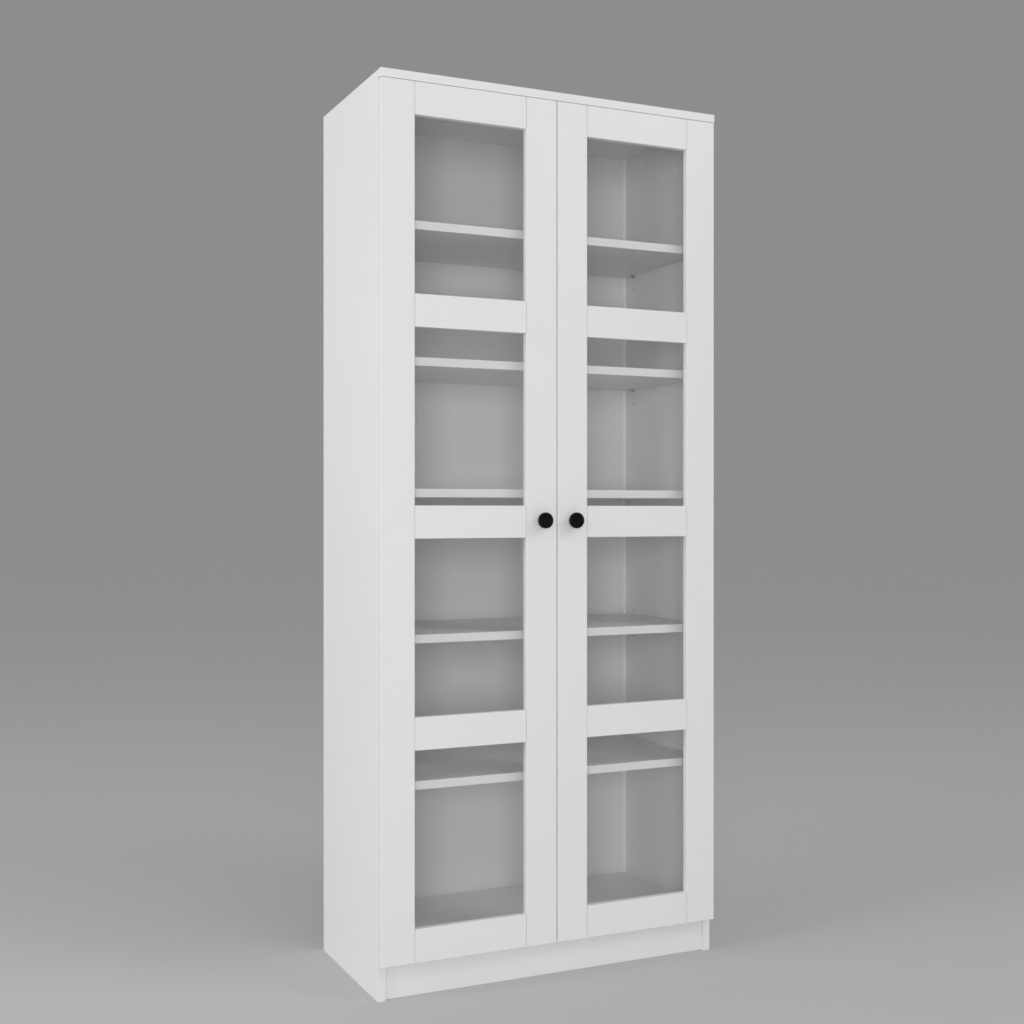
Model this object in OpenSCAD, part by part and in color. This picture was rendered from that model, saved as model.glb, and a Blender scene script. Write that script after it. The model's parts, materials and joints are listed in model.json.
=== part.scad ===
// Tall display bookcase with two glazed doors, five shelves, a plinth and a full-width top.
// The origin is the centre of the base of the bounding box, knobs included.
// +Z is up, the doors face -Y and +X is to the right of someone facing the doors.
// Left-hand shapes are drawn once and mirrored in the plane X = 0 for the right hand.

/* [Overall] */
// Width over the side panels and the top board
width = 800; // [740:5:900]
// Height from the floor to the upper face of the top board
height = 1900; // [1880:5:1960]
// Depth from the door fronts to the rear edges, without the knobs
depth = 389; // [360:1:450]

/* [Boards] */
// Thickness of the carcass boards
board_t = 18; // [18:0.5:22]
// Thickness of the sheets that close the back
back_t = 3; // [2.5:0.5:4]
// Distance of the back sheets' rear face from the rear edges
back_inset = 8; // [6:1:12]
// Depth of the grooves that hold the back sheets
groove_d = 7; // [5:0.5:8]

/* [Base] */
// Height of the underside of the bottom board
plinth_h = 77; // [70:1:90]
// How far the plinth stands back from the carcass front
plinth_setback = 7; // [4:1:20]

/* [Shelves] */
// Height of the upper face of the lower shelf
lower_shelf_z = 440; // [425:1:455]
// Height of the upper face of the lower middle shelf
lower_middle_z = 744; // [735:1:755]
// Height of the upper face of the fixed shelf
fixed_shelf_z = 1047.5; // [1035:0.5:1060]
// Height of the upper face of the upper middle shelf
upper_middle_z = 1321; // [1310:1:1335]
// Height of the upper face of the upper shelf
upper_shelf_z = 1604; // [1590:1:1615]
// Distance of the shelf fronts behind the carcass front
shelf_setback = 15; // [8:1:30]
// Spacing of the support holes above and below each loose shelf
pin_step = 32; // [25:1:40]

/* [Doors] */
// Thickness of the door frames
door_t = 18; // [18:0.5:20]
// Width of the door stiles
stile_w = 72; // [66:0.5:80]
// Height of the door rails above the bottom one
rail_h = 68; // [60:1:76]
// Height of the bottom door rail
bottom_rail_h = 69.4; // [60:0.1:80]
// Distance of each door's outer edge from the side panel's outer face
side_reveal = 1.75; // [1:0.25:2]
// Gap between the two doors
centre_gap = 2.3; // [2:0.1:5]
// Gap between the doors' back faces and the carcass front
door_gap = 1.9; // [1.9:0.1:3]
// Gap between the doors and the top board
top_gap = 1; // [1:0.1:4]
// How far the doors hang below the underside of the bottom board
door_drop = 2.6; // [0:0.1:4]
// Width of the bevel on each side of a stile and rail joint
joint_bevel = 1; // [0.5:0.25:1.5]
// Thickness of the glass panes
glass_t = 4; // [3:0.5:4]

/* [Knobs] */
// Diameter of the knob's disc
knob_d = 34; // [28:1:40]
// Distance that the knob stands out from the door
knob_l = 24; // [20:1:30]
// Height of the knobs' centres
knob_z = 981; // [970:1:990]

/* [Hinges] */
// Distance of the end hinges from the door's ends
hinge_end = 100; // [80:1:110]
// Height of the lower middle hinge
hinge_low_z = 641; // [600:1:650]
// Height of the upper middle hinge
hinge_high_z = 1181; // [1150:1:1200]

/* [Wall fixing] */
// Distance of each wall bracket from the middle of the width
bracket_x = 205; // [150:1:300]
// Diameter of the wall screw hole in each bracket
anchor_d = 5.5; // [4.5:0.5:6.5]

/* [Hidden] */
$fn = 48;
over = 1;
// Width of the flat on every eased edge
arris = 0.6;
// Cross recess of the screw heads: share of the head's radius, width and depth
recess_reach = 0.62;
recess_w = 1;
recess_d = 0.6;

// Planes across the depth, from the door fronts to the rear edges
front_y = (knob_l - depth) / 2;
door_back_y = front_y + door_t;
case_y = door_back_y + door_gap;
rear_y = front_y + depth;
sheet_y1 = rear_y - back_inset;
sheet_y0 = sheet_y1 - back_t;

// Planes across the width and up the height
side_x = width / 2;
inner_x = side_x - board_t;
top_z = height - board_t;
floor_z = plinth_h + board_t;

// Loose shelves
loose_shelf_tops = [lower_shelf_z, lower_middle_z, upper_middle_z, upper_shelf_z];
shelf_y0 = case_y + shelf_setback;
shelf_end_gap = 1.5;
shelf_rear_gap = 2;
pin_ys = [case_y + 37, sheet_y0 - 45];
pin_r = 2.5;
pin_stub_r = 3;
pin_stub_l = 9;
pin_collar_r = 4.5;
pin_collar_t = 1.2;
pin_hole_d = 10;

// Carcass joints: a cam and a dowel near the front and the rear of each board
cam_ys = [case_y + 50, sheet_y0 - 80];
dowel_ys = [case_y + 82, sheet_y0 - 112];
dowel_r = 4;
dowel_host_l = 10;
dowel_guest_l = 20;
cam_r = 7.4;
cam_hole_r = 7.5;
cam_depth = 13;
cam_reach = 24;
cam_slot_w = 1.6;
cam_slot_d = 2;
cam_cap_r = 8.6;
cam_cap_t = 1;
cam_cap_blade = [10, 1.2, 1.5];
bolt_thread_r = 2.5;
bolt_thread_l = 11;
bolt_neck_r = 2;
bolt_head_r = 3.2;
bolt_head_l = 4;
bolt_hole_r = 3.8;
plinth_dowel_zs = [24, 54];
rear_plinth_y0 = sheet_y0 - 60;

// Back sheets meet behind the fixed shelf
sheet_joint_z = fixed_shelf_z - board_t / 2;
sheet_edge_play = 1;
back_screw_r = 1.5;
back_screw_l = 16;
back_screw_head_r = 3;
back_screw_head_t = 0.8;
back_screw_step = 180;
back_screw_off = 5;

// Beads in the rear corners, and how far the loose shelves' corners clear them
bead_w = 5.5;
bead_clear = 1.4;
shelf_clip = bead_w + bead_clear - shelf_end_gap - shelf_rear_gap;

// Wall brackets
bracket_w = 24;
bracket_leg = 30;
bracket_t = 2;
bracket_hole_z = top_z - 18;
bracket_screw_ys = [sheet_y0 - 11, sheet_y0 - 22];
bracket_screw_r = 1.75;
bracket_screw_head_r = 3.5;
bracket_screw_head_t = 1.8;
bracket_screw_l = 14;
sheet_anchor_r = 4;

// Bumpers
bumper_r = 5;
bumper_t = door_gap - 0.2;
bumper_xs = [34, 300];

// Doors; the left one is drawn, from its outer edge to its inner edge
rails = 5;
panes = rails - 1;
door_x0 = side_reveal - side_x;
door_x1 = -centre_gap / 2;
door_z0 = plinth_h - door_drop;
door_z1 = top_z - top_gap;
door_h = door_z1 - door_z0;
window_x0 = door_x0 + stile_w;
window_x1 = door_x1 - stile_w;
window_h = (door_h - bottom_rail_h - panes * rail_h) / panes;
rebate_w = 8;
pane_overlap = 7;
rebate_y = door_back_y - glass_t;
frame_dowel_l = 25;
frame_dowel_y = front_y + 8;
frame_dowel_off = 18;
clip_r = 8;
clip_t = 1.4;
clip_off = 5;
clip_stem_r = 2.5;
clip_stem_l = 8;
clip_end = 60;

// Knobs and their screws
knob_x = (window_x1 + door_x1) / 2;
knob_r = knob_d / 2;
knob_foot_r = 9;
knob_foot_t = 1.6;
knob_neck_r = 7;
knob_dish_d = 1.2;
knob_screw_r = 2;
knob_screw_reach = 12;
knob_screw_hole_r = 2.25;
knob_screw_head_r = 4;
knob_screw_head_t = 2;

// Hinges, in their own frame: x from the side panel's outer face, y from the door's front, z from mid height
hinge_zs = [door_z0 + hinge_end, hinge_low_z, hinge_high_z, door_z1 - hinge_end];
pivot_x = side_reveal + 6.2;
pivot_y = 7.5;
pivot_r = 1;
pivot_play = 0.05;
pivot_half_l = 7.6;
eye_r = 1.8;
eye_half_l = 3.5;
cup_edge = 3;
cup_r = 17.4;
cup_hole_r = 17.5;
cup_wall = 0.5;
cup_hole_d = 14;
cup_d = 13.8;
cup_flange_t = 0.9;
cup_flange_r = 18.4;
cup_x = side_reveal + cup_edge + cup_hole_r;
cup_lug_z = 3.8;
cup_lug_w = 2.2;
wing_x0 = cup_x + 3;
wing_x1 = cup_x + 16;
wing_half_l = 28;
wing_screw_x = cup_x + 9.5;
wing_screw_z = 22.5;
wing_screw_r = 1.75;
wing_screw_l = 13;
wing_screw_head_r = 3.4;
wing_screw_head_t = 1.1;
arm_leg = 14.7;
arm_t = 1.8;
arm_play = 0.4;
arm_y1 = case_y - front_y + 64;
arm_box_y0 = case_y - front_y + 9.5;
arm_box_half = 7.5;
arm_web_t = 1.5;
plate_t = 2.5;
plate_y0 = case_y - front_y + 29.5;
plate_y1 = plate_y0 + 15;
plate_half_l = 27;
plate_screw_z = 16;
plate_screw_r = 2.2;
plate_screw_l = 12;
plate_screw_head_r = 3.8;
plate_screw_head_t = 1.4;
spine_y0 = plate_y0 - 6;
spine_y1 = spine_y0 + 38;
spine_half = 5.5;
spine_t = 6;
arm_screw_y = plate_y1 + 11;
arm_screw_r = 2;
arm_screw_head_r = 3.5;
arm_screw_head_t = 1.6;
arm_box_x1 = board_t + plate_t + spine_t + arm_play + arm_web_t;

// Height of the lower edge of window i
function window_z(i) = door_z0 + bottom_rail_h + i * (rail_h + window_h);
// Heights of the edges of rail i, counted from the bottom rail
function rail_z0(i) = i == 0 ? door_z0 : window_z(i) - rail_h;
function rail_z1(i) = window_z(i);

// A block between two corners
module block(low, high) translate(low) cube(high - low);
// A block whose two front edges that run along X are eased
module eased_along_x(low, high) {
    translate([low.x, 0, 0]) rotate([90, 0, 90]) linear_extrude(height = high.x - low.x) polygon([
        [low.y, low.z + arris], [low.y + arris, low.z], [high.y, low.z],
        [high.y, high.z], [low.y + arris, high.z], [low.y, high.z - arris]]);
}
// A block whose two front edges that run along Z are cut back by their own amounts
module eased_along_z(low, high, ease_low, ease_high) {
    translate([0, 0, low.z]) linear_extrude(height = high.z - low.z) polygon([
        [low.x, high.y], [low.x, low.y + ease_low], [low.x + ease_low, low.y],
        [high.x - ease_high, low.y], [high.x, low.y + ease_high], [high.x, high.y]]);
}
// A block whose two upper edges that run along Y are eased
module eased_along_y(low, high) {
    translate([0, high.y, 0]) rotate([90, 0, 0]) linear_extrude(height = high.y - low.y) polygon([
        [low.x, low.z], [high.x, low.z], [high.x, high.z - arris],
        [high.x - arris, high.z], [low.x + arris, high.z], [low.x, high.z - arris]]);
}
// A frame member of a door with eased front edges all round
module eased_member(low, high, ease_low, ease_high) {
    intersection() {
        eased_along_z(low, high, ease_low, ease_high);
        eased_along_x(low, high);
    }
}
// Rods along each axis, from a start point
module rod_x(start, length, r) translate(start) rotate([0, 90, 0]) cylinder(h = length, r = r);
module rod_y(start, length, r) translate(start) rotate([-90, 0, 0]) cylinder(h = length, r = r);
module rod_z(start, length, r) translate(start) cylinder(h = length, r = r);
// Cross recess for a screw head of radius r, to be cut at the middle of the head's outer face
module cross_arms(r) {
    reach = recess_reach * r;
    for (turn = [0, 90]) rotate([0, 0, turn])
        block([-reach, -recess_w / 2, -recess_d], [reach, recess_w / 2, recess_d]);
}
module recess_x(place, r) translate(place) rotate([0, 90, 0]) cross_arms(r);
module recess_y(place, r) translate(place) rotate([90, 0, 0]) cross_arms(r);
module recess_z(place, r) translate(place) cross_arms(r);
// A shape and its mirror image across the middle of the cabinet
module both_hands() {
    children();
    mirror([1, 0, 0]) children();
}
// A shape at every hinge of the left door, in the hinge frame
module at_hinges() {
    for (z = hinge_zs) translate([-side_x, front_y, z]) children();
}

/* Carcass joints. In the fitting's frame +X runs from the joint into the board that holds
   the cam, and the cam opens at z = -board_t / 2. */

// Places the fittings of the bottom board and the fixed shelf at their right-hand ends
module at_board_ends(ys) {
    for (top = [floor_z, fixed_shelf_z])
        for (y = ys) translate([inner_x, y, top - board_t / 2]) rotate([0, 0, 180]) children();
}
// Places the fittings of the top board on the right-hand side panel
module at_top_ends(ys) {
    for (y = ys) translate([side_x - board_t / 2, y, top_z]) rotate([0, 90, 0]) children();
}
// Places the fittings of both plinth boards at their right-hand ends
module at_plinth_ends() {
    for (y = [case_y + plinth_setback + board_t / 2, rear_plinth_y0 + board_t / 2])
        for (z = plinth_dowel_zs) translate([inner_x, y, z]) rotate([0, 0, 180]) children();
}
module cam_bolt() {
    rod_x([-bolt_thread_l, 0, 0], bolt_thread_l, bolt_thread_r);
    rod_x([0, 0, 0], cam_reach - bolt_head_l, bolt_neck_r);
    rod_x([cam_reach - bolt_head_l, 0, 0], bolt_head_l, bolt_head_r);
}
module cam_lock() {
    difference() {
        rod_z([cam_reach, 0, -board_t / 2], cam_depth - 0.5, cam_r);
        rod_x([0, 0, 0], cam_reach + over, bolt_hole_r);
        block([cam_reach - cam_r, -cam_slot_w / 2, -board_t / 2 - over],
              [cam_reach + cam_r, cam_slot_w / 2, -board_t / 2 + cam_slot_d]);
    }
}
// Holes in the board that the bolt screws into
module bolt_thread_hole() rod_x([-bolt_thread_l, 0, 0], bolt_thread_l + over, bolt_thread_r);
// Holes in the board that holds the cam
module cam_holes() {
    rod_x([-over, 0, 0], cam_reach + over, bolt_hole_r);
    rod_z([cam_reach, 0, -board_t / 2 - over], cam_depth + over, cam_hole_r);
}
module dowel() rod_x([-dowel_host_l, 0, 0], dowel_host_l + dowel_guest_l, dowel_r);

/* Carcass boards, right hand */

module shelf_pin_holes() {
    for (top = loose_shelf_tops)
        for (y = pin_ys)
            for (step = [-1, 0, 1])
                rod_x([inner_x - over, y, top - board_t - pin_stub_r + step * pin_step],
                      pin_hole_d + over, pin_r);
}
module side_panel() {
    difference() {
        eased_along_z([inner_x, case_y, 0], [side_x, rear_y, top_z], arris, arris);
        block([inner_x - over, sheet_y0, -over], [inner_x + groove_d, sheet_y1, top_z + over]);
        shelf_pin_holes();
        at_board_ends(cam_ys) bolt_thread_hole();
        at_board_ends(dowel_ys) dowel();
        at_plinth_ends() dowel();
        at_top_ends(cam_ys) cam_holes();
        at_top_ends(dowel_ys) dowel();
        mirror([1, 0, 0]) at_hinges() plate_screws(over);
    }
}
module right_side_panel() color("whitesmoke") side_panel();
module left_side_panel() color("whitesmoke") mirror([1, 0, 0]) side_panel();

module top_board() {
    color("whitesmoke") difference() {
        intersection() {
            eased_member([-side_x, front_y, top_z], [side_x, rear_y, height], arris, arris);
            eased_along_y([-side_x, front_y, top_z], [side_x, rear_y, height]);
        }
        block([-inner_x - groove_d, sheet_y0, top_z - over],
              [inner_x + groove_d, sheet_y1, top_z + groove_d]);
        both_hands() {
            at_top_ends(cam_ys) bolt_thread_hole();
            at_top_ends(dowel_ys) dowel();
            bracket_screw_shanks(0);
        }
    }
}
// Board between the side panels with the holes of its end fittings and its rear screws
module housed_board(y0, top) {
    difference() {
        eased_along_x([-inner_x, y0, top - board_t], [inner_x, sheet_y0, top]);
        both_hands() {
            at_board_ends(cam_ys) cam_holes();
            at_board_ends(dowel_ys) dowel();
        }
        back_screw_shanks();
    }
}
module bottom_board() color("whitesmoke") housed_board(case_y, floor_z);
module fixed_shelf() color("whitesmoke") housed_board(shelf_y0, fixed_shelf_z);

module loose_shelf(top) {
    end_x = inner_x - shelf_end_gap;
    rear = sheet_y0 - shelf_rear_gap;
    color("whitesmoke") difference() {
        eased_along_x([-end_x, shelf_y0, top - board_t], [end_x, rear, top]);
        both_hands() corner_prism(end_x, rear, shelf_clip, top - board_t - over, top + over);
    }
}
// Three-sided prism in the corner at x and y, with legs along both walls
module corner_prism(x, y, leg, z0, z1) {
    translate([0, 0, z0]) linear_extrude(height = z1 - z0)
        polygon([[x - leg, y], [x, y - leg], [x, y]]);
}
module lower_shelf() loose_shelf(lower_shelf_z);
module lower_middle_shelf() loose_shelf(lower_middle_z);
module upper_middle_shelf() loose_shelf(upper_middle_z);
module upper_shelf() loose_shelf(upper_shelf_z);

module plinth_board(y0) {
    color("whitesmoke") difference() {
        eased_along_x([-inner_x, y0, 0], [inner_x, y0 + board_t, plinth_h]);
        both_hands() at_plinth_ends() dowel();
    }
}
module front_plinth() plinth_board(case_y + plinth_setback);
module rear_plinth() plinth_board(rear_plinth_y0);

/* Back sheets and their screws */

module back_screw_places() {
    for (z = [plinth_h + board_t / 2, sheet_joint_z - back_screw_off, sheet_joint_z + back_screw_off])
        for (i = [-1.5:1:1.5]) translate([i * back_screw_step, sheet_y1, z]) children();
}
module back_screw_shanks() {
    back_screw_places() rod_y([0, -back_screw_l, 0], back_screw_l + over, back_screw_r);
}
module back_sheet(z0, z1) {
    reach = inner_x + groove_d - sheet_edge_play;
    color("gainsboro") difference() {
        block([-reach, sheet_y0, z0], [reach, sheet_y1, z1]);
        back_screw_shanks();
        both_hands() rod_y([bracket_x, sheet_y0 - over, bracket_hole_z], back_t + 2 * over, sheet_anchor_r);
    }
}
module back_sheet_lower() back_sheet(plinth_h, sheet_joint_z);
module back_sheet_upper() back_sheet(sheet_joint_z, top_z + groove_d - sheet_edge_play);
module back_screws() {
    color("silver") back_screw_places() {
        rod_y([0, -back_screw_l, 0], back_screw_l, back_screw_r);
        difference() {
            rod_y([0, 0, 0], back_screw_head_t, back_screw_head_r);
            recess_y([0, back_screw_head_t, 0], back_screw_head_r);
        }
    }
}

/* Small carcass pieces */

module shelf_pins() {
    color("silver") both_hands()
        for (top = loose_shelf_tops)
            for (y = pin_ys)
                translate([inner_x, y, top - board_t - pin_stub_r]) {
                    rod_x([0, 0, 0], pin_hole_d - over, pin_r);
                    rod_x([-pin_collar_t, 0, 0], pin_collar_t, pin_collar_r);
                    rod_x([-pin_stub_l, 0, 0], pin_stub_l, pin_stub_r);
                }
}
module case_dowels() {
    color("burlywood") both_hands() {
        at_board_ends(dowel_ys) dowel();
        at_top_ends(dowel_ys) dowel();
        at_plinth_ends() dowel();
    }
}
module cam_bolts() {
    color("silver") both_hands() {
        at_board_ends(cam_ys) cam_bolt();
        at_top_ends(cam_ys) cam_bolt();
    }
}
module cam_caps() {
    color("white") both_hands() at_top_ends(cam_ys) translate([cam_reach, 0, -board_t / 2]) {
        rod_z([0, 0, -cam_cap_t], cam_cap_t, cam_cap_r);
        block([-cam_cap_blade.x / 2, -cam_cap_blade.y / 2, -over / 2],
              [cam_cap_blade.x / 2, cam_cap_blade.y / 2, cam_cap_blade.z]);
    }
}
module corner_beads() {
    spans = [[floor_z, fixed_shelf_z - board_t], [fixed_shelf_z, top_z]];
    color("white") both_hands() for (span = spans)
        corner_prism(inner_x, sheet_y0, bead_w, span[0], span[1]);
}
module cam_locks() {
    color("silver") both_hands() {
        at_board_ends(cam_ys) cam_lock();
        at_top_ends(cam_ys) cam_lock();
    }
}
module wall_brackets() {
    x0 = bracket_x - bracket_w / 2;
    x1 = bracket_x + bracket_w / 2;
    color("silver") both_hands() difference() {
        union() {
            block([x0, sheet_y0 - bracket_leg, top_z - bracket_t], [x1, sheet_y0, top_z]);
            block([x0, sheet_y0 - bracket_t, top_z - bracket_leg], [x1, sheet_y0, top_z]);
        }
        rod_y([bracket_x, sheet_y0 - bracket_t - over, bracket_hole_z], bracket_t + 2 * over, anchor_d / 2);
        bracket_screw_shanks(over);
    }
}
// Shanks of the bracket screws, which start the given distance below the bracket
module bracket_screw_shanks(extra) {
    for (y = bracket_screw_ys)
        rod_z([bracket_x, y, top_z - bracket_t - extra], bracket_screw_l + extra, bracket_screw_r);
}
module bracket_screws() {
    color("silver") both_hands() {
        bracket_screw_shanks(0);
        for (y = bracket_screw_ys)
            translate([bracket_x, y, top_z - bracket_t - bracket_screw_head_t]) difference() {
                rod_z([0, 0, 0], bracket_screw_head_t, bracket_screw_head_r);
                recess_z([0, 0, 0], bracket_screw_head_r);
            }
    }
}
module door_bumpers() {
    color("white") both_hands()
        for (x = bumper_xs) rod_y([x, case_y - bumper_t, floor_z - board_t / 2], bumper_t, bumper_r);
}

/* Hinges, left hand, in the hinge frame */

// Shanks of the screws that hold a mounting plate; extra lengthens them past the plate
module plate_screws(extra) {
    for (z = [-plate_screw_z, plate_screw_z])
        rod_x([board_t - plate_screw_l, (plate_y0 + plate_y1) / 2, z],
              plate_screw_l + plate_t + extra, plate_screw_r);
}
module arm_screw_shank(length) {
    rod_x([board_t + plate_t, arm_screw_y, 0], length, arm_screw_r);
}
module hinge_plate() {
    difference() {
        union() {
            block([board_t, plate_y0, -plate_half_l], [board_t + plate_t, plate_y1, plate_half_l]);
            block([board_t, spine_y0, -spine_half], [board_t + plate_t, spine_y1, spine_half]);
            block([board_t + plate_t, spine_y0, -spine_half],
                  [board_t + plate_t + spine_t, spine_y1, spine_half]);
        }
        plate_screws(over);
        arm_screw_shank(arm_box_x1);
    }
}
module hinge_arm() {
    neck_x = pivot_x + arm_leg;
    difference() {
        union() {
            rod_z([pivot_x, pivot_y, -eye_half_l], 2 * eye_half_l, eye_r);
            block([pivot_x, pivot_y - arm_t / 2, -eye_half_l],
                  [neck_x + arm_t / 2, pivot_y + arm_t / 2, eye_half_l]);
            block([neck_x - arm_t / 2, pivot_y - arm_t / 2, -eye_half_l],
                  [neck_x + arm_t / 2, arm_box_y0 + arm_t, eye_half_l]);
            block([neck_x - arm_t / 2, arm_box_y0, -arm_box_half], [arm_box_x1, arm_y1, arm_box_half]);
        }
        rod_z([pivot_x, pivot_y, -eye_half_l - over], 2 * (eye_half_l + over), pivot_r + pivot_play);
        block([0, arm_box_y0 + arm_t, arm_web_t - arm_box_half],
              [arm_box_x1 - arm_web_t, arm_y1 + over, arm_box_half - arm_web_t]);
        arm_screw_shank(arm_box_x1);
    }
}
module hinge_cup() {
    difference() {
        union() {
            rod_y([cup_x, door_t - cup_d, 0], cup_d, cup_r);
            rod_y([cup_x, door_t, 0], cup_flange_t, cup_flange_r);
            block([wing_x0, door_t, -wing_half_l], [wing_x1, door_t + cup_flange_t, wing_half_l]);
        }
        difference() {
            rod_y([cup_x, door_t - cup_d + cup_wall, 0], cup_d + cup_flange_t, cup_r - cup_wall);
            for (side = [0, 1]) mirror([0, 0, side])
                block([pivot_x - cup_lug_w, 0, cup_lug_z],
                      [pivot_x + cup_lug_w, pivot_y + cup_lug_w, cup_r]);
        }
        pivot_pin();
        cup_screw_shanks(over);
    }
}
module pivot_pin() rod_z([pivot_x, pivot_y, -pivot_half_l], 2 * pivot_half_l, pivot_r);
module cup_screw_shanks(extra) {
    for (z = [-wing_screw_z, wing_screw_z])
        rod_y([wing_screw_x, door_t + cup_flange_t - wing_screw_l, z], wing_screw_l + extra, wing_screw_r);
}
module cup_screw_pair() {
    cup_screw_shanks(0);
    for (z = [-wing_screw_z, wing_screw_z])
        translate([wing_screw_x, door_t + cup_flange_t, z]) difference() {
            rod_y([0, 0, 0], wing_screw_head_t, wing_screw_head_r);
            recess_y([0, wing_screw_head_t, 0], wing_screw_head_r);
        }
}
module left_hinge_arms() color("lightsteelblue") at_hinges() hinge_arm();
module right_hinge_arms() mirror([1, 0, 0]) left_hinge_arms();
module left_hinge_plates() color("lightsteelblue") at_hinges() hinge_plate();
module right_hinge_plates() mirror([1, 0, 0]) left_hinge_plates();
module left_hinge_cups() color("lightsteelblue") at_hinges() hinge_cup();
module right_hinge_cups() mirror([1, 0, 0]) left_hinge_cups();
module left_hinge_pins() color("silver") at_hinges() pivot_pin();
module right_hinge_pins() mirror([1, 0, 0]) left_hinge_pins();
module left_cup_screws() color("silver") at_hinges() cup_screw_pair();
module right_cup_screws() mirror([1, 0, 0]) left_cup_screws();
module hinge_plate_screws() {
    color("silver") both_hands() at_hinges() {
        plate_screws(0);
        for (z = [-plate_screw_z, plate_screw_z])
            translate([board_t + plate_t, (plate_y0 + plate_y1) / 2, z]) difference() {
                rod_x([0, 0, 0], plate_screw_head_t, plate_screw_head_r);
                recess_x([plate_screw_head_t, 0, 0], plate_screw_head_r);
            }
    }
}
module hinge_arm_screws() {
    color("silver") both_hands() at_hinges() {
        arm_screw_shank(arm_box_x1 - board_t - plate_t);
        translate([arm_box_x1, arm_screw_y, 0]) difference() {
            rod_x([0, 0, 0], arm_screw_head_t, arm_screw_head_r);
            recess_x([arm_screw_head_t, 0, 0], arm_screw_head_r);
        }
    }
}

/* Doors, left hand */

// Glass rebate around window i, open to the back
module window_rebate(i) {
    block([window_x0 - rebate_w, rebate_y, window_z(i) - rebate_w],
          [window_x1 + rebate_w, door_back_y + over, window_z(i) + window_h + rebate_w]);
}
module frame_dowel_rods() {
    for (i = [0:rails - 1])
        for (z = [-frame_dowel_off, frame_dowel_off])
            for (x = [window_x0, window_x1])
                rod_x([x - frame_dowel_l, frame_dowel_y, (rail_z0(i) + rail_z1(i)) / 2 + z],
                      2 * frame_dowel_l, dowel_r);
}
module clip_places() {
    for (i = [0:panes - 1])
        for (z = [window_z(i) + clip_end, window_z(i) + window_h - clip_end])
            for (x = [window_x0 - rebate_w - clip_off, window_x1 + rebate_w + clip_off])
                translate([x, door_back_y, z]) children();
}
module clip_stem() rod_y([0, -clip_stem_l, 0], clip_stem_l + clip_t, clip_stem_r);
// Upright of the frame between x0 and x1, with bevels on its front corners
module stile(x0, x1, bevel0, bevel1) {
    difference() {
        eased_member([x0, front_y, door_z0], [x1, door_back_y, door_z1], bevel0, bevel1);
        for (i = [0:panes - 1]) window_rebate(i);
        frame_dowel_rods();
        clip_places() clip_stem();
    }
}
module left_outer_stile() {
    color("white") difference() {
        stile(door_x0, window_x0, arris, joint_bevel);
        at_hinges() {
            rod_y([cup_x, door_t - cup_hole_d, 0], cup_hole_d + over, cup_hole_r);
            cup_screw_shanks(over);
        }
    }
}
module left_inner_stile() {
    color("white") difference() {
        stile(window_x1, door_x1, joint_bevel, arris);
        rod_y([knob_x, front_y - over, knob_z], door_t + 2 * over, knob_screw_hole_r);
    }
}
module rail(i) {
    color("white") difference() {
        eased_member([window_x0, front_y, rail_z0(i)], [window_x1, door_back_y, rail_z1(i)],
                     joint_bevel, joint_bevel);
        if (i > 0) window_rebate(i - 1);
        if (i < rails - 1) window_rebate(i);
        frame_dowel_rods();
    }
}
module left_bottom_rail() rail(0);
module left_lower_rail() rail(1);
module left_middle_rail() rail(2);
module left_upper_rail() rail(3);
module left_top_rail() rail(4);
module left_glass_panes() {
    color("lightcyan") for (i = [0:panes - 1])
        block([window_x0 - pane_overlap, rebate_y, window_z(i) - pane_overlap],
              [window_x1 + pane_overlap, door_back_y, window_z(i) + window_h + pane_overlap]);
}
module left_glass_clips() {
    color("white") clip_places() {
        clip_stem();
        rod_y([0, 0, 0], clip_t, clip_r);
    }
}
module left_frame_dowels() color("burlywood") frame_dowel_rods();
// Turned knob with a foot, a waisted neck and a disc with a rolled rim and a shallow dish
module left_knob() {
    neck_l = knob_l * 0.36;
    rim_l = knob_l * 0.66;
    color("black") translate([knob_x, front_y, knob_z]) rotate([90, 0, 0]) difference() {
        rotate_extrude() polygon([
            [0, 0], [knob_foot_r, 0], [knob_foot_r, knob_foot_t], [knob_neck_r, knob_foot_t + 1.4],
            [knob_neck_r, neck_l], [knob_neck_r + 3, neck_l + 3], [knob_r - 2, rim_l - 1],
            [knob_r, rim_l + 1], [knob_r, knob_l - 3], [knob_r - 2.5, knob_l - 0.6],
            [knob_r - 5, knob_l], [0, knob_l - knob_dish_d]]);
        translate([0, 0, -over]) cylinder(h = knob_screw_reach + over, r = knob_screw_r);
    }
}
module left_knob_screw() {
    color("silver") translate([knob_x, 0, knob_z]) {
        rod_y([0, front_y - knob_screw_reach, 0], knob_screw_reach + door_t, knob_screw_r);
        translate([0, door_back_y, 0]) difference() {
            rod_y([0, 0, 0], knob_screw_head_t, knob_screw_head_r);
            recess_y([0, knob_screw_head_t, 0], knob_screw_head_r);
        }
    }
}
module right_outer_stile() mirror([1, 0, 0]) left_outer_stile();
module right_inner_stile() mirror([1, 0, 0]) left_inner_stile();
module right_bottom_rail() mirror([1, 0, 0]) left_bottom_rail();
module right_lower_rail() mirror([1, 0, 0]) left_lower_rail();
module right_middle_rail() mirror([1, 0, 0]) left_middle_rail();
module right_upper_rail() mirror([1, 0, 0]) left_upper_rail();
module right_top_rail() mirror([1, 0, 0]) left_top_rail();
module right_glass_panes() mirror([1, 0, 0]) left_glass_panes();
module right_glass_clips() mirror([1, 0, 0]) left_glass_clips();
module right_frame_dowels() mirror([1, 0, 0]) left_frame_dowels();
module right_knob() mirror([1, 0, 0]) left_knob();
module right_knob_screw() mirror([1, 0, 0]) left_knob_screw();

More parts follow.
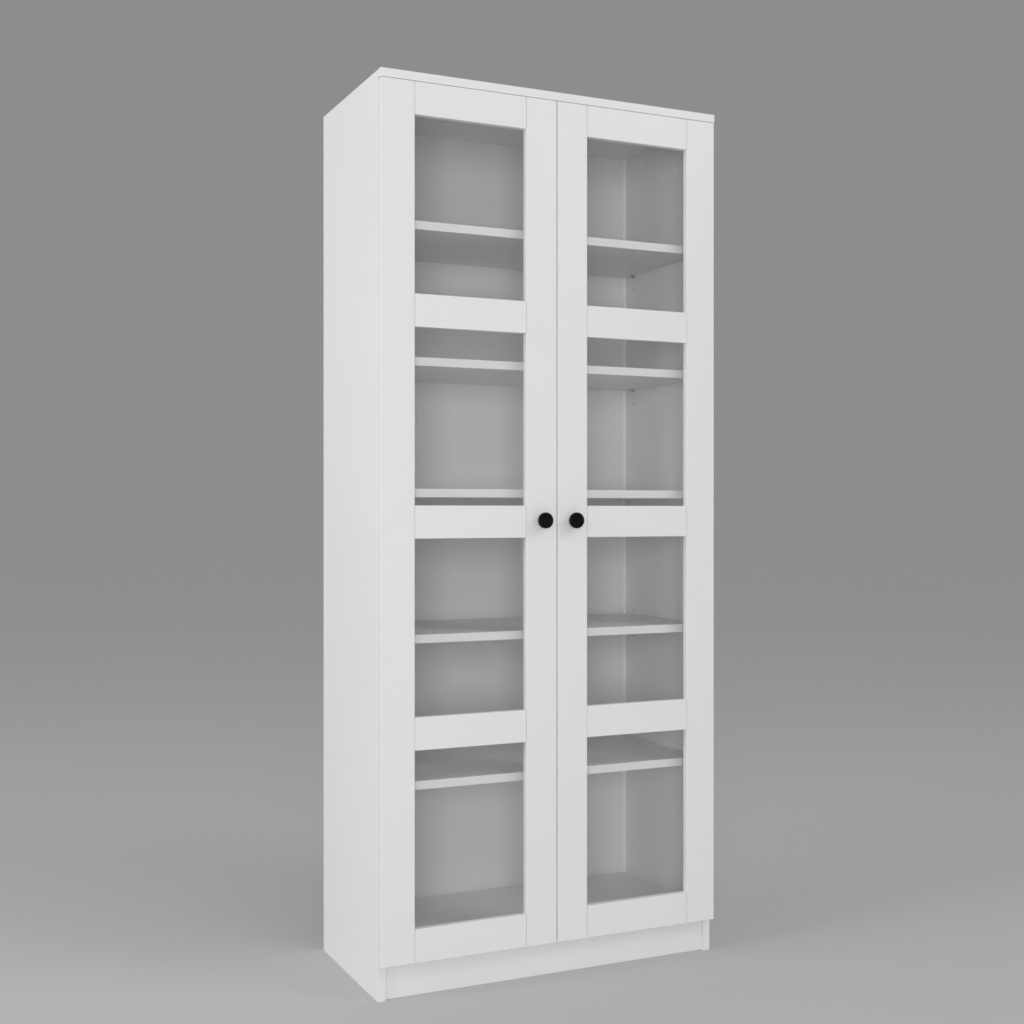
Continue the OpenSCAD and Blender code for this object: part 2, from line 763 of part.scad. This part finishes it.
left_side_panel();
right_side_panel();
top_board();
bottom_board();
fixed_shelf();
lower_shelf();
lower_middle_shelf();
upper_middle_shelf();
upper_shelf();
back_sheet_lower();
back_sheet_upper();
front_plinth();
rear_plinth();
shelf_pins();
case_dowels();
cam_bolts();
cam_locks();
back_screws();
cam_caps();
corner_beads();
wall_brackets();
bracket_screws();
door_bumpers();
left_hinge_arms();
right_hinge_arms();
left_hinge_plates();
right_hinge_plates();
hinge_plate_screws();
hinge_arm_screws();
left_outer_stile();
left_inner_stile();
left_bottom_rail();
left_lower_rail();
left_middle_rail();
left_upper_rail();
left_top_rail();
left_glass_panes();
left_glass_clips();
left_frame_dowels();
left_hinge_cups();
left_hinge_pins();
left_cup_screws();
left_knob();
left_knob_screw();
right_outer_stile();
right_inner_stile();
right_bottom_rail();
right_lower_rail();
right_middle_rail();
right_upper_rail();
right_top_rail();
right_glass_panes();
right_glass_clips();
right_frame_dowels();
right_hinge_cups();
right_hinge_pins();
right_cup_screws();
right_knob();
right_knob_screw();
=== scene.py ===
import json
import math

import bmesh
import bpy
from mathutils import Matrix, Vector

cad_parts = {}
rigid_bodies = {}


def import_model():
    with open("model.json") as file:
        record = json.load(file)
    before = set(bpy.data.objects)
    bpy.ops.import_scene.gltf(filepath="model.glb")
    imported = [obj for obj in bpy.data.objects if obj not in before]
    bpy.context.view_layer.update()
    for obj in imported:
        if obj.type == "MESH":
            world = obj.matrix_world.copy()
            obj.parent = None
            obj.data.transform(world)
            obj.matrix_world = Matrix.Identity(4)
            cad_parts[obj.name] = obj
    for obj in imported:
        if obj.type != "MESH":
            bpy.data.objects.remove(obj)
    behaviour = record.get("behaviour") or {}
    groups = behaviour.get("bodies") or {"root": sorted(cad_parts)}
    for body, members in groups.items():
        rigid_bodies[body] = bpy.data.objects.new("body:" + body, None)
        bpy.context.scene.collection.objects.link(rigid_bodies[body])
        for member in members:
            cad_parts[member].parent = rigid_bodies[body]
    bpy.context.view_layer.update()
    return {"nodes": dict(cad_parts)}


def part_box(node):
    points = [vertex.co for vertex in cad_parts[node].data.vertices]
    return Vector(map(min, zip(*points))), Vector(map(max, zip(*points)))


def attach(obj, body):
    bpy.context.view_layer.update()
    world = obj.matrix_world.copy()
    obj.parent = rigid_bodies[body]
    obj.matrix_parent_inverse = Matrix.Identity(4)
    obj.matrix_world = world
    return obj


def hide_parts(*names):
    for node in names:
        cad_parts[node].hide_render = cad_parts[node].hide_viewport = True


MM = 0.001

# Colours, linear
WHITE = (0.86, 0.86, 0.86, 1.0)
FOIL_WHITE = (0.84, 0.84, 0.84, 1.0)
SEAM_GREY = (0.42, 0.42, 0.41, 1.0)
# Painted shade in the joint grooves of the door frames
GROOVE_SHADE_GREY = (0.16, 0.16, 0.16, 1.0)
CHIP_LIGHT = (0.47, 0.33, 0.20, 1.0)
CHIP_DARK = (0.20, 0.12, 0.065, 1.0)
HARDBOARD_LIGHT = (0.27, 0.165, 0.095, 1.0)
HARDBOARD_DARK = (0.17, 0.098, 0.052, 1.0)
GLASS_TINT = (0.987, 0.987, 0.987, 1.0)
GLASS_EDGE_TINT = (0.33, 0.56, 0.47, 1.0)
BLACK = (0.003, 0.003, 0.003, 1.0)
BLACK_WORN = (0.008, 0.008, 0.008, 1.0)
NICKEL = (0.66, 0.645, 0.62, 1.0)
NICKEL_DULL = (0.50, 0.49, 0.47, 1.0)
ZINC = (0.62, 0.63, 0.65, 1.0)
ZINC_DULL = (0.44, 0.45, 0.47, 1.0)
BEECH_LIGHT = (0.66, 0.46, 0.27, 1.0)
BEECH_DARK = (0.50, 0.31, 0.16, 1.0)
WHITE_PLASTIC = (0.92, 0.92, 0.92, 1.0)
BUMPER = (0.66, 0.66, 0.65, 1.0)
FLOOR_GREY = (0.58, 0.58, 0.58, 1.0)
FULL_WHITE = (1.0, 1.0, 1.0, 1.0)

# Camera
CAMERA_PLACE = (-1.3303, -2.8094, 1.0015)
CAMERA_TURN = (89.95, 0.0, -24.97)
CAMERA_LENS = 48.19
CAMERA_SENSOR = 36.0

# Surroundings
SKY_LIGHT = 0.46
FLOOR_HALF = 60.0
# Square lights: name, place, the point each one faces, width and watts
SOFTBOXES = (
    ("front", (-2.1, -4.4, 1.2), (0.0, -0.1, 1.0), 1.6, 68.0),
    ("side", (-5.2, -0.6, 2.4), (-0.3, 0.0, 1.1), 2.4, 90.0),
    ("top", (3.0, -3.6, 4.2), (0.0, -0.1, 1.1), 2.0, 44.0),
)


# Node helpers


def fresh_material(name):
    """A new material with an empty node tree."""
    material = bpy.data.materials.new(name)
    material.use_nodes = True
    material.node_tree.nodes.clear()
    return material, material.node_tree


def add(tree, kind, inputs=None, **settings):
    """A new node. inputs maps input names or places to plain values or to other nodes' sockets."""
    node = tree.nodes.new(kind)
    for name, value in settings.items():
        setattr(node, name, value)
    for name, value in (inputs or {}).items():
        if isinstance(value, bpy.types.NodeSocket):
            tree.links.new(value, node.inputs[name])
        else:
            node.inputs[name].default_value = value
    return node


def calc(tree, operation, first, second=0.0):
    """Output of a Math node."""
    return add(tree, "ShaderNodeMath", {0: first, 1: second}, operation=operation).outputs[0]


def product(tree, *factors):
    """Product of several masks or factors."""
    result = factors[0]
    for factor in factors[1:]:
        result = calc(tree, "MULTIPLY", result, factor)
    return result


def remap(tree, value, low, high, new_low, new_high):
    """value taken from low..high to new_low..new_high, and kept inside it."""
    sockets = {"Value": value, "From Min": low, "From Max": high, "To Min": new_low, "To Max": new_high}
    return add(tree, "ShaderNodeMapRange", sockets).outputs["Result"]


def blend_colours(tree, factor, first, second):
    """first where factor is 0 and second where it is 1."""
    node = add(tree, "ShaderNodeMix", {0: factor, 6: first, 7: second}, data_type="RGBA")
    return node.outputs[2]


def blend_numbers(tree, factor, first, second):
    """first where factor is 0 and second where it is 1."""
    return add(tree, "ShaderNodeMix", {0: factor, 2: first, 3: second}, data_type="FLOAT").outputs[0]


def scaled_colour(tree, colour, factor):
    """A colour made lighter or darker by a factor."""
    source = colour if isinstance(colour, bpy.types.NodeSocket) else colour[:3]
    node = add(tree, "ShaderNodeVectorMath", {0: source, "Scale": factor}, operation="SCALE")
    return node.outputs[0]


def object_coordinates(tree):
    return add(tree, "ShaderNodeTexCoord").outputs["Object"]


def stretched(tree, coordinates, scale):
    """Coordinates scaled by its own factor along each axis."""
    return add(tree, "ShaderNodeMapping", {"Vector": coordinates, "Scale": scale}).outputs["Vector"]


def noise(tree, coordinates, scale, detail=2.0, roughness=0.5):
    sockets = {"Vector": coordinates, "Scale": scale, "Detail": detail, "Roughness": roughness}
    return add(tree, "ShaderNodeTexNoise", sockets).outputs["Fac"]


def cells(tree, coordinates, scale, output="Distance"):
    return add(tree, "ShaderNodeTexVoronoi", {"Vector": coordinates, "Scale": scale}).outputs[output]


def bump(tree, height, distance, strength=1.0, below=None):
    """Normal of a surface whose relief is height times distance; below is a coarser relief's normal."""
    sockets = {"Height": height, "Distance": distance, "Strength": strength}
    if below is not None:
        sockets["Normal"] = below
    return add(tree, "ShaderNodeBump", sockets).outputs["Normal"]


def principled(tree, colour, roughness, normal, **constants):
    """A Principled shader. constants are plain numbers set on its own sockets."""
    node = add(tree, "ShaderNodeBsdfPrincipled", {"Base Color": colour, "Roughness": roughness})
    if normal is not None:
        tree.links.new(normal, node.inputs["Normal"])
    for name, value in constants.items():
        node.inputs[name.replace("_", " ")].default_value = value
    return node.outputs["BSDF"]


def surface(tree, shader):
    add(tree, "ShaderNodeOutputMaterial", {"Surface": shader})


def mottled(tree, coordinates, colour, broad, fine):
    """A colour with a broad and a fine variation, given as shares of its lightness."""
    wide = remap(tree, noise(tree, coordinates, 3.0, 3.0), 0.3, 0.7, 1.0 - broad, 1.0 + broad)
    close = remap(tree, noise(tree, coordinates, 420.0, 2.0), 0.3, 0.7, 1.0 - fine, 1.0 + fine)
    return scaled_colour(tree, colour, calc(tree, "MULTIPLY", wide, close))


# Masks


def near(tree, value, place, half_width):
    """1 where value is close to place, fading to 0 at half_width from it."""
    distance = calc(tree, "ABSOLUTE", calc(tree, "SUBTRACT", value, place))
    return remap(tree, distance, half_width, 0.5 * half_width, 0.0, 1.0)


def above(tree, value, limit):
    return calc(tree, "GREATER_THAN", value, limit)


def depth_between(tree, value, low, high):
    """Distance from the nearer of two parallel faces, positive inside the board."""
    from_low = calc(tree, "SUBTRACT", value, low)
    from_high = calc(tree, "SUBTRACT", high, value)
    return calc(tree, "MINIMUM", from_low, from_high)


# Materials


def chipboard_colour(tree, coordinates):
    """Pressed chips, with long and short flakes lying along the board."""
    flakes = cells(tree, stretched(tree, coordinates, (1.0, 1.0, 1.6)), 520.0, "Color")
    flake_tone = add(tree, "ShaderNodeSeparateColor", {"Color": flakes}).outputs[0]
    dust = noise(tree, coordinates, 1800.0, 3.0)
    tone = calc(tree, "ADD", product(tree, flake_tone, 0.6), product(tree, dust, 0.4))
    return blend_colours(tree, tone, CHIP_DARK, CHIP_LIGHT)


def melamine_bump(tree, coordinates):
    """Faint pearl grain of pressed melamine over a fainter waviness of the board."""
    waves = bump(tree, noise(tree, coordinates, 14.0, 2.0), 0.06 * MM)
    pearl = noise(tree, coordinates, 900.0, 3.0, 0.6)
    return bump(tree, pearl, 0.012 * MM, below=waves)


# Glued edge bands, their seams, and how far in from an edge hands have rubbed the board
EDGE_BAND = 0.9 * MM
SEAM_HALF = 0.13 * MM
SEAM_SHADE = 0.45
RUB_REACH = 1.2 * MM
RUB_SHADE = 0.03
# The chips start this far inside the faces and behind a band
CORE_SKIN = 0.35 * MM
CORE_START = 1.3 * MM


def melamine(name, low, high, thickness_axis, banded_ends, core_shows):
    """White melamine on chipboard. The front edge, and with banded_ends the left and right edges too,
    carry a glued band, whose seam is a fine line. With core_shows, sawn edges and drilled holes show
    the chips."""
    material, tree = fresh_material(name)
    coordinates = object_coordinates(tree)
    x, y, z = add(tree, "ShaderNodeSeparateXYZ", {"Vector": coordinates}).outputs
    along = {"x": x, "y": y, "z": z}[thickness_axis]
    index = "xyz".index(thickness_axis)
    depth = depth_between(tree, along, low[index], high[index])
    from_front = calc(tree, "SUBTRACT", y, low.y)
    from_end = depth_between(tree, x, low.x, high.x)
    from_band = calc(tree, "MINIMUM", from_front, from_end) if banded_ends else from_front
    seam = near(tree, from_band, EDGE_BAND, SEAM_HALF)
    white = mottled(tree, coordinates, WHITE, 0.010, 0.006)
    rubbed = product(tree, remap(tree, from_band, RUB_REACH, 0.0, 0.0, 1.0),
                     remap(tree, noise(tree, coordinates, 38.0, 4.0), 0.56, 0.72, 0.0, RUB_SHADE))
    shade = calc(tree, "MAXIMUM", product(tree, seam, SEAM_SHADE), rubbed)
    white = blend_colours(tree, shade, white, SEAM_GREY)
    core = product(tree, above(tree, depth, CORE_SKIN), above(tree, from_band, CORE_START))
    core = product(tree, core, 1.0 if core_shows else 0.0)
    colour = blend_colours(tree, core, white, chipboard_colour(tree, coordinates))
    sheen = remap(tree, noise(tree, coordinates, 22.0, 3.0), 0.3, 0.7, 0.36, 0.44)
    roughness = blend_numbers(tree, core, sheen, 0.92)
    chips = bump(tree, product(tree, core, noise(tree, coordinates, 900.0, 3.0)), 0.25 * MM,
                 below=melamine_bump(tree, coordinates))
    surface(tree, principled(tree, colour, roughness, chips, Specular_IOR_Level=0.42))
    return material


# Painted shade in the grooves of the stile and rail joints
JOINT_HALF = 0.9 * MM
JOINT_FRONT = 0.3 * MM
JOINT_SKIN = 1.15 * MM
GROOVE_SHADE_STRENGTH = 0.60


def lacquer(name, low, rail_ends, rail_top, rail_pitch, rail_height):
    """Sprayed white lacquer on a door frame. The groove of each stile and rail joint is darkened with
    painted shade, over the height of the rails only."""
    material, tree = fresh_material(name)
    coordinates = object_coordinates(tree)
    x, y, z = add(tree, "ShaderNodeSeparateXYZ", {"Vector": coordinates}).outputs
    across = calc(tree, "ABSOLUTE", x)
    joints = calc(tree, "MAXIMUM", near(tree, across, rail_ends[0], JOINT_HALF),
                  near(tree, across, rail_ends[1], JOINT_HALF))
    step = calc(tree, "MODULO", calc(tree, "SUBTRACT", rail_top, z), rail_pitch)
    on_rail = calc(tree, "LESS_THAN", step, rail_height)
    at_front = remap(tree, y, low.y + JOINT_SKIN, low.y + JOINT_FRONT, 0.0, 1.0)
    # Painted shade: the joint grooves over the rails' height are darkened in the colour
    groove_shade = product(tree, joints, on_rail, at_front)
    white = mottled(tree, coordinates, WHITE, 0.008, 0.004)
    colour = blend_colours(tree, product(tree, groove_shade, GROOVE_SHADE_STRENGTH), white, GROOVE_SHADE_GREY)
    roughness = remap(tree, noise(tree, coordinates, 26.0, 3.0), 0.3, 0.7, 0.33, 0.40)
    peel = bump(tree, noise(tree, coordinates, 380.0, 2.0, 0.4), 0.02 * MM)
    surface(tree, principled(tree, colour, roughness, peel, Specular_IOR_Level=0.45))
    return material


SHEET_SKIN = 0.4 * MM


def hardboard(name, low):
    """Thin hardboard with white foil inside, and bare fibres with the mesh mark of the press behind."""
    material, tree = fresh_material(name)
    coordinates = object_coordinates(tree)
    _, y, _ = add(tree, "ShaderNodeSeparateXYZ", {"Vector": coordinates}).outputs
    bare = above(tree, y, low.y + SHEET_SKIN)
    foil = mottled(tree, coordinates, FOIL_WHITE, 0.012, 0.008)
    clouds = noise(tree, coordinates, 9.0, 4.0)
    fibres = noise(tree, stretched(tree, coordinates, (1.0, 1.0, 0.35)), 1300.0, 3.0, 0.7)
    tone = calc(tree, "ADD", product(tree, clouds, 0.45), product(tree, fibres, 0.55))
    brown = blend_colours(tree, remap(tree, tone, 0.3, 0.7, 0.0, 1.0), HARDBOARD_DARK, HARDBOARD_LIGHT)
    colour = blend_colours(tree, bare, foil, brown)
    roughness = blend_numbers(tree, bare, 0.55, 0.86)
    screen = cells(tree, coordinates, 620.0)
    relief = blend_numbers(tree, bare, noise(tree, coordinates, 1100.0, 2.0), screen)
    normal = bump(tree, relief, 0.03 * MM)
    surface(tree, principled(tree, colour, roughness, normal, Specular_IOR_Level=0.32))
    return material


GLASS_IOR = 1.45
# How many faces' mirroring the outer face of a pane carries
GLASS_FACES = 1.5


def clear_glass(name):
    """Clear float glass that lets light straight through, with faint wiping marks and green edges.
    The outer face mirrors for both faces of the pane, so that nothing is trapped between them."""
    material, tree = fresh_material(name)
    coordinates = object_coordinates(tree)
    normal = add(tree, "ShaderNodeTexCoord").outputs["Normal"]
    _, facing, _ = add(tree, "ShaderNodeSeparateXYZ", {"Vector": normal}).outputs
    edge = calc(tree, "LESS_THAN", calc(tree, "ABSOLUTE", facing), 0.5)
    tint = blend_colours(tree, edge, GLASS_TINT, GLASS_EDGE_TINT)
    wiped = noise(tree, stretched(tree, coordinates, (1.0, 1.0, 0.22)), 16.0, 4.0, 0.65)
    roughness = remap(tree, wiped, 0.45, 0.75, 0.012, 0.07)
    through = add(tree, "ShaderNodeBsdfTransparent", {"Color": tint}).outputs[0]
    mirror = add(tree, "ShaderNodeBsdfGlossy", {"Color": FULL_WHITE, "Roughness": roughness})
    fresnel = add(tree, "ShaderNodeFresnel", {"IOR": GLASS_IOR}).outputs[0]
    outside = calc(tree, "SUBTRACT", 1.0, add(tree, "ShaderNodeNewGeometry").outputs["Backfacing"])
    share = calc(tree, "MINIMUM", product(tree, fresnel, outside, GLASS_FACES), 1.0)
    glass = add(tree, "ShaderNodeMixShader", {0: share, 1: through, 2: mirror.outputs[0]}).outputs[0]
    surface(tree, glass)
    return material


def black_lacquer(name):
    """Satin black lacquer over metal, with a fine orange peel and slightly rubbed rims."""
    material, tree = fresh_material(name)
    coordinates = object_coordinates(tree)
    rubbed = remap(tree, noise(tree, coordinates, 160.0, 4.0), 0.55, 0.75, 0.0, 1.0)
    colour = blend_colours(tree, rubbed, BLACK, BLACK_WORN)
    roughness = remap(tree, noise(tree, coordinates, 90.0, 3.0), 0.3, 0.7, 0.36, 0.46)
    peel = bump(tree, noise(tree, coordinates, 1100.0, 2.0), 0.018 * MM)
    surface(tree, principled(tree, colour, roughness, peel, Specular_IOR_Level=0.12))
    return material


def plated_steel(name, bright, dull, brush_axes, low_roughness, high_roughness):
    """Plated steel with drawing marks along one direction and duller patches."""
    material, tree = fresh_material(name)
    coordinates = object_coordinates(tree)
    streaks = noise(tree, stretched(tree, coordinates, brush_axes), 2600.0, 3.0, 0.6)
    patches = noise(tree, coordinates, 120.0, 3.0)
    colour = blend_colours(tree, remap(tree, patches, 0.4, 0.75, 0.0, 0.8), bright, dull)
    colour = scaled_colour(tree, colour, remap(tree, streaks, 0.3, 0.7, 0.95, 1.04))
    roughness = remap(tree, calc(tree, "ADD", product(tree, streaks, 0.5), product(tree, patches, 0.5)),
                      0.35, 0.65, low_roughness, high_roughness)
    normal = bump(tree, streaks, 0.008 * MM)
    surface(tree, principled(tree, colour, roughness, normal, Metallic=1.0))
    return material


def beech(name, grain_axes):
    """Turned beech with fine straight grain and short dark flecks."""
    material, tree = fresh_material(name)
    coordinates = object_coordinates(tree)
    grain = noise(tree, stretched(tree, coordinates, grain_axes), 900.0, 4.0, 0.6)
    spots = noise(tree, stretched(tree, coordinates, grain_axes), 2400.0, 1.0)
    flecks = remap(tree, spots, 0.6, 0.72, 0.0, 0.5)
    tone = calc(tree, "MAXIMUM", remap(tree, grain, 0.35, 0.7, 0.0, 1.0), flecks)
    colour = blend_colours(tree, tone, BEECH_LIGHT, BEECH_DARK)
    normal = bump(tree, grain, 0.05 * MM)
    surface(tree, principled(tree, colour, remap(tree, grain, 0.3, 0.7, 0.55, 0.7), normal,
                             Specular_IOR_Level=0.35))
    return material


def moulded(name, colour, low_roughness, high_roughness, grain_scale, grain_height):
    """Moulded plastic or rubber with a fine spark-eroded grain."""
    material, tree = fresh_material(name)
    coordinates = object_coordinates(tree)
    grain = cells(tree, coordinates, grain_scale)
    flow = noise(tree, coordinates, 180.0, 3.0)
    tinted = scaled_colour(tree, colour, remap(tree, flow, 0.3, 0.7, 0.94, 1.05))
    roughness = remap(tree, flow, 0.3, 0.7, low_roughness, high_roughness)
    surface(tree, principled(tree, tinted, roughness, bump(tree, grain, grain_height),
                             Specular_IOR_Level=0.4))
    return material


# Pieces


def smooth_profile(points, rounds):
    """Cuts the corners of an open line of (radius, height) points; its two ends stay."""
    for _ in range(rounds):
        cut = [points[0]]
        for (r0, h0), (r1, h1) in zip(points, points[1:]):
            cut.append((0.75 * r0 + 0.25 * r1, 0.75 * h0 + 0.25 * h1))
            cut.append((0.25 * r0 + 0.75 * r1, 0.25 * h0 + 0.75 * h1))
        cut.append(points[-1])
        points = cut
    return points


# Radius and height in millimetres, from the middle of the foot to the middle of the front
KNOB_PROFILE = (
    (0.0, 0.0), (8.95, 0.0), (8.95, 0.8), (8.9, 1.6), (7.4, 2.2), (7.0, 3.4), (7.0, 8.0), (7.2, 9.6),
    (9.6, 11.6), (14.2, 14.2), (17.0, 16.2), (17.0, 18.0), (17.0, 20.4), (17.0, 22.2), (15.6, 23.7),
    (13.2, 24.0), (11.6, 23.75), (8.0, 23.2), (3.0, 22.85), (0.0, 22.8),
)
KNOB_SEGMENTS = 96
KNOB_ROUNDS = 2


def turned_piece(name, profile, segments, place):
    """A closed turned shape about a line along -Y through place, with poles on the line."""
    mesh = bmesh.new()
    rings = []
    for radius, height in profile:
        y = place.y - height * MM
        if radius <= 0.0:
            rings.append([mesh.verts.new((place.x, y, place.z))] * segments)
            continue
        ring = []
        for i in range(segments):
            angle = 2.0 * math.pi * i / segments
            x = place.x + radius * MM * math.cos(angle)
            z = place.z + radius * MM * math.sin(angle)
            ring.append(mesh.verts.new((x, y, z)))
        rings.append(ring)
    for inner, outer in zip(rings, rings[1:]):
        for i in range(segments):
            j = (i + 1) % segments
            corners = []
            for vertex in (inner[i], outer[i], outer[j], inner[j]):
                if vertex not in corners:
                    corners.append(vertex)
            mesh.faces.new(corners)
    bmesh.ops.recalc_face_normals(mesh, faces=mesh.faces)
    data = bpy.data.meshes.new(name)
    mesh.to_mesh(data)
    mesh.free()
    data.polygons.foreach_set("use_smooth", [True] * len(data.polygons))
    piece = bpy.data.objects.new(name, data)
    bpy.context.scene.collection.objects.link(piece)
    return piece


def make_knob(side, material):
    node = side + "_knob"
    low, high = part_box(node)
    place = Vector(((low.x + high.x) / 2, high.y, (low.z + high.z) / 2))
    profile = smooth_profile(list(KNOB_PROFILE), KNOB_ROUNDS)
    piece = turned_piece(side + "_knob_turned", profile, KNOB_SEGMENTS, place)
    piece.data.materials.append(material)
    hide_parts(node)
    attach(piece, side + "_door")


def dress(node, material):
    """Gives every material slot of a CAD node this material."""
    data = frame["nodes"][node].data
    for i in range(len(data.materials)):
        data.materials[i] = material


# Thickness axis, glued bands on the left and right edges, and whether sawn edges show the chips
BOARDS = {
    "left_side_panel": ("x", False, True),
    "right_side_panel": ("x", False, True),
    "top_board": ("z", True, True),
    "bottom_board": ("z", False, True),
    "fixed_shelf": ("z", False, True),
    "lower_shelf": ("z", True, False),
    "lower_middle_shelf": ("z", True, False),
    "upper_middle_shelf": ("z", True, False),
    "upper_shelf": ("z", True, False),
    "front_plinth": ("y", False, True),
    "rear_plinth": ("y", False, True),
}
FRAME_PARTS = (
    "outer_stile", "inner_stile", "bottom_rail", "lower_rail", "middle_rail", "upper_rail", "top_rail",
)
NICKEL_DOOR_PARTS = ("hinge_arms", "hinge_plates", "hinge_cups")
ZINC_DOOR_PARTS = ("hinge_pins", "cup_screws", "knob_screw")
ZINC_FITTINGS = (
    "shelf_pins", "cam_bolts", "cam_locks", "back_screws", "wall_brackets", "bracket_screws",
    "hinge_plate_screws", "hinge_arm_screws",
)
PLASTIC_FITTINGS = ("cam_caps", "corner_beads", "left_glass_clips", "right_glass_clips")
# Grain along X, as all dowels lie but the four upright ones under the top board
DOWEL_GRAIN = (0.06, 1.0, 1.0)


def dress_boards():
    for node, (axis, banded_ends, core_shows) in BOARDS.items():
        low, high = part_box(node)
        dress(node, melamine(node + "_melamine", low, high, axis, banded_ends, core_shows))
    for node in ("back_sheet_lower", "back_sheet_upper"):
        low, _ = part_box(node)
        dress(node, hardboard(node + "_hardboard", low))


def dress_doors():
    rail_low, rail_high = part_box("right_top_rail")
    _, next_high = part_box("right_upper_rail")
    lacquered = lacquer("frame_lacquer", rail_low, (rail_low.x, rail_high.x), rail_high.z,
                        rail_high.z - next_high.z, rail_high.z - rail_low.z)
    glass = clear_glass("float_glass")
    dowels = beech("frame_dowel_beech", DOWEL_GRAIN)
    for side in ("left", "right"):
        for part in FRAME_PARTS:
            dress(f"{side}_{part}", lacquered)
        dress(side + "_glass_panes", glass)
        dress(side + "_frame_dowels", dowels)


def dress_fittings():
    nickel = plated_steel("nickel_plate", NICKEL, NICKEL_DULL, (1.0, 1.0, 0.05), 0.20, 0.34)
    zinc = plated_steel("zinc_plate", ZINC, ZINC_DULL, (1.0, 0.08, 1.0), 0.26, 0.44)
    for side in ("left", "right"):
        for part in NICKEL_DOOR_PARTS:
            dress(f"{side}_{part}", nickel)
        for part in ZINC_DOOR_PARTS:
            dress(f"{side}_{part}", zinc)
    for node in ZINC_FITTINGS:
        dress(node, zinc)
    dress("case_dowels", beech("case_dowel_beech", DOWEL_GRAIN))
    plastic = moulded("white_plastic", WHITE_PLASTIC, 0.42, 0.55, 2200.0, 0.02 * MM)
    for node in PLASTIC_FITTINGS:
        dress(node, plastic)
    dress("door_bumpers", moulded("bumper_rubber", BUMPER, 0.55, 0.7, 1200.0, 0.02 * MM))


# Studio


def make_floor():
    mesh = bmesh.new()
    bmesh.ops.create_grid(mesh, x_segments=1, y_segments=1, size=FLOOR_HALF)
    data = bpy.data.meshes.new("floor")
    mesh.to_mesh(data)
    mesh.free()
    floor = bpy.data.objects.new("floor", data)
    bpy.context.scene.collection.objects.link(floor)
    material, tree = fresh_material("floor_grey")
    tone = remap(tree, noise(tree, object_coordinates(tree), 1.2, 2.0), 0.3, 0.7, 0.995, 1.005)
    colour = scaled_colour(tree, FLOOR_GREY, tone)
    surface(tree, principled(tree, colour, 1.0, None, Specular_IOR_Level=0.0))
    data.materials.append(material)


def make_world():
    """Even light from all round; behind the object it has the far floor's own grey."""
    world = bpy.data.worlds.new("studio")
    bpy.context.scene.world = world
    world.use_nodes = True
    tree = world.node_tree
    tree.nodes.clear()
    light = add(tree, "ShaderNodeBackground", {"Color": FULL_WHITE, "Strength": SKY_LIGHT})
    seen = add(tree, "ShaderNodeBackground", {"Color": FLOOR_GREY, "Strength": SKY_LIGHT})
    to_camera = add(tree, "ShaderNodeLightPath").outputs["Is Camera Ray"]
    mixed = add(tree, "ShaderNodeMixShader", {0: to_camera, 1: light.outputs[0], 2: seen.outputs[0]})
    add(tree, "ShaderNodeOutputWorld", {"Surface": mixed.outputs[0]})


def make_softbox(name, place, aim, width, watts):
    data = bpy.data.lights.new(name, "AREA")
    data.shape = "SQUARE"
    data.size = width
    data.energy = watts
    lamp = bpy.data.objects.new(name, data)
    lamp.location = place
    lamp.rotation_euler = (Vector(aim) - Vector(place)).to_track_quat("-Z", "Y").to_euler()
    bpy.context.scene.collection.objects.link(lamp)


def make_camera():
    data = bpy.data.cameras.new("camera")
    data.sensor_width = CAMERA_SENSOR
    data.lens = CAMERA_LENS
    camera = bpy.data.objects.new("camera", data)
    camera.location = CAMERA_PLACE
    camera.rotation_euler = [math.radians(angle) for angle in CAMERA_TURN]
    bpy.context.scene.collection.objects.link(camera)
    bpy.context.scene.camera = camera


for leftover in list(bpy.data.objects):
    bpy.data.objects.remove(leftover)
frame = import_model()

make_camera()
make_world()
make_floor()
for softbox in SOFTBOXES:
    make_softbox(*softbox)
bpy.context.scene.view_settings.view_transform = "Standard"

dress_boards()
dress_doors()
dress_fittings()
knob_finish = black_lacquer("knob_lacquer")
make_knob("left", knob_finish)
make_knob("right", knob_finish)
